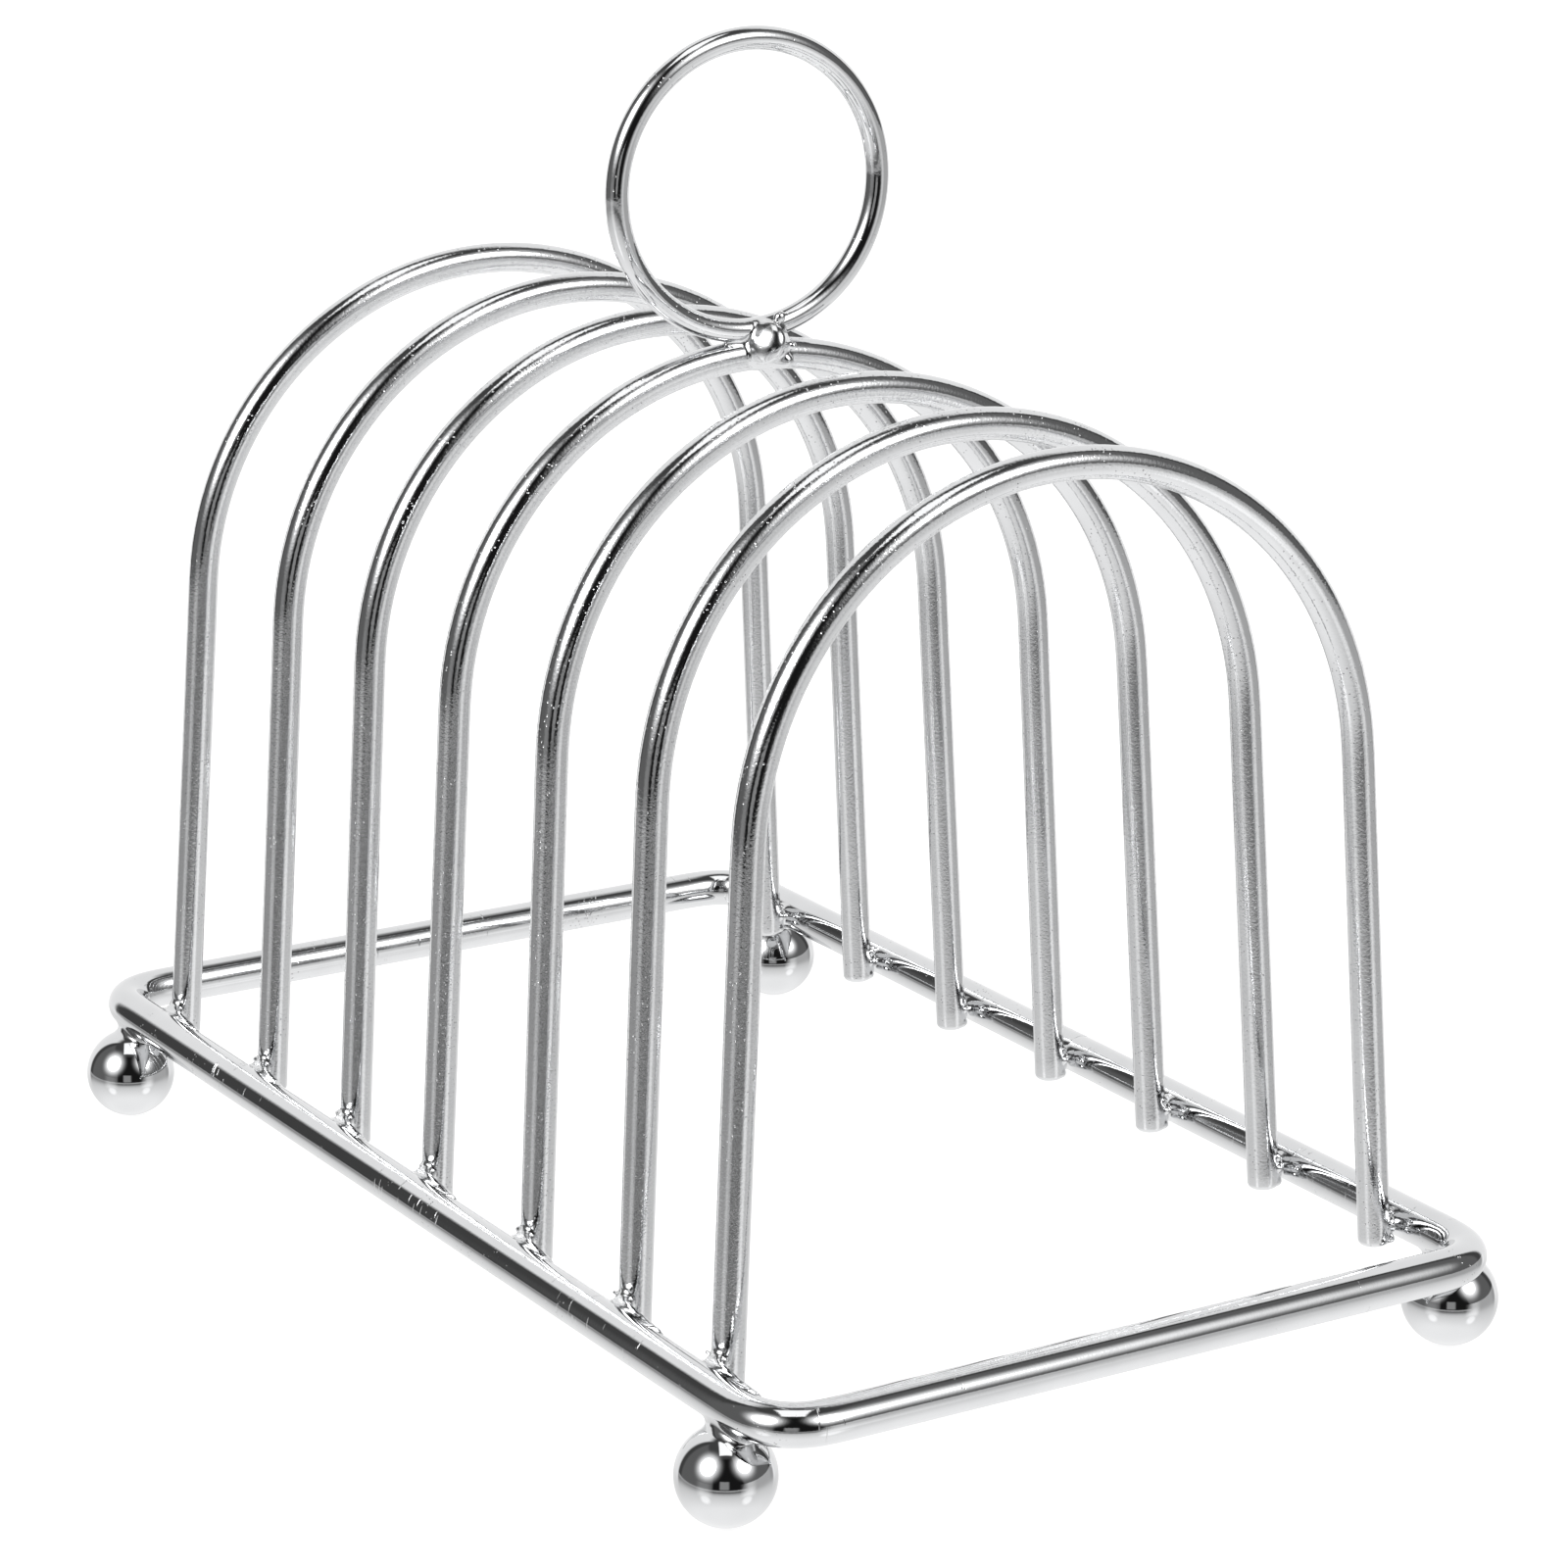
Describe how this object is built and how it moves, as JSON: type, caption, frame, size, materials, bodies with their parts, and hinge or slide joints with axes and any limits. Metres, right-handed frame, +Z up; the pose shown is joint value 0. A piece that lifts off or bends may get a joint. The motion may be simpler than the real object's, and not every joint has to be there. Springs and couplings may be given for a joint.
{
  "type": "toast rack",
  "caption": "Wire toast rack: a row of arched hoops welded into a rectangular base frame on ball feet, with a ring handle on top.",
  "frame": {"origin": "on the table under the middle of the base frame", "axes": "+X along the row of hoops towards the front, +Y across the row to the right, +Z up"},
  "size_m": [0.1826, 0.1162, 0.157],
  "materials": {
    "base_wire": "mirror-polished stainless steel wire with fine scratches",
    "hoop_wire": "polished stainless steel wire with faint drawing lines along the legs",
    "ring_wire": "mirror-polished stainless steel wire with a few pits",
    "foot_ball": "mirror-polished solid steel ball",
    "weld_metal": "lumpy weld metal, polished over but left uneven"
  },
  "bodies": {
    "root": {"base_frame": "base_wire", "frame_seam": "base_wire", "hoop_1": "hoop_wire", "hoop_2": "hoop_wire", "hoop_3": "hoop_wire", "hoop_4": "hoop_wire", "hoop_5": "hoop_wire", "hoop_6": "hoop_wire", "hoop_7": "hoop_wire", "leg_weld_left_1": "weld_metal", "leg_weld_left_2": "weld_metal", "leg_weld_left_3": "weld_metal", "leg_weld_left_4": "weld_metal", "leg_weld_left_5": "weld_metal", "leg_weld_left_6": "weld_metal", "leg_weld_left_7": "weld_metal", "leg_weld_right_1": "weld_metal", "leg_weld_right_2": "weld_metal", "leg_weld_right_3": "weld_metal", "leg_weld_right_4": "weld_metal", "leg_weld_right_5": "weld_metal", "leg_weld_right_6": "weld_metal", "leg_weld_right_7": "weld_metal", "ring_handle": "ring_wire", "ring_weld": "weld_metal", "foot_front_left": "foot_ball", "foot_front_right": "foot_ball", "foot_back_left": "foot_ball", "foot_back_right": "foot_ball", "foot_weld_front_left": "weld_metal", "foot_weld_front_right": "weld_metal", "foot_weld_back_left": "weld_metal", "foot_weld_back_right": "weld_metal"}
  },
  "joints": []
}
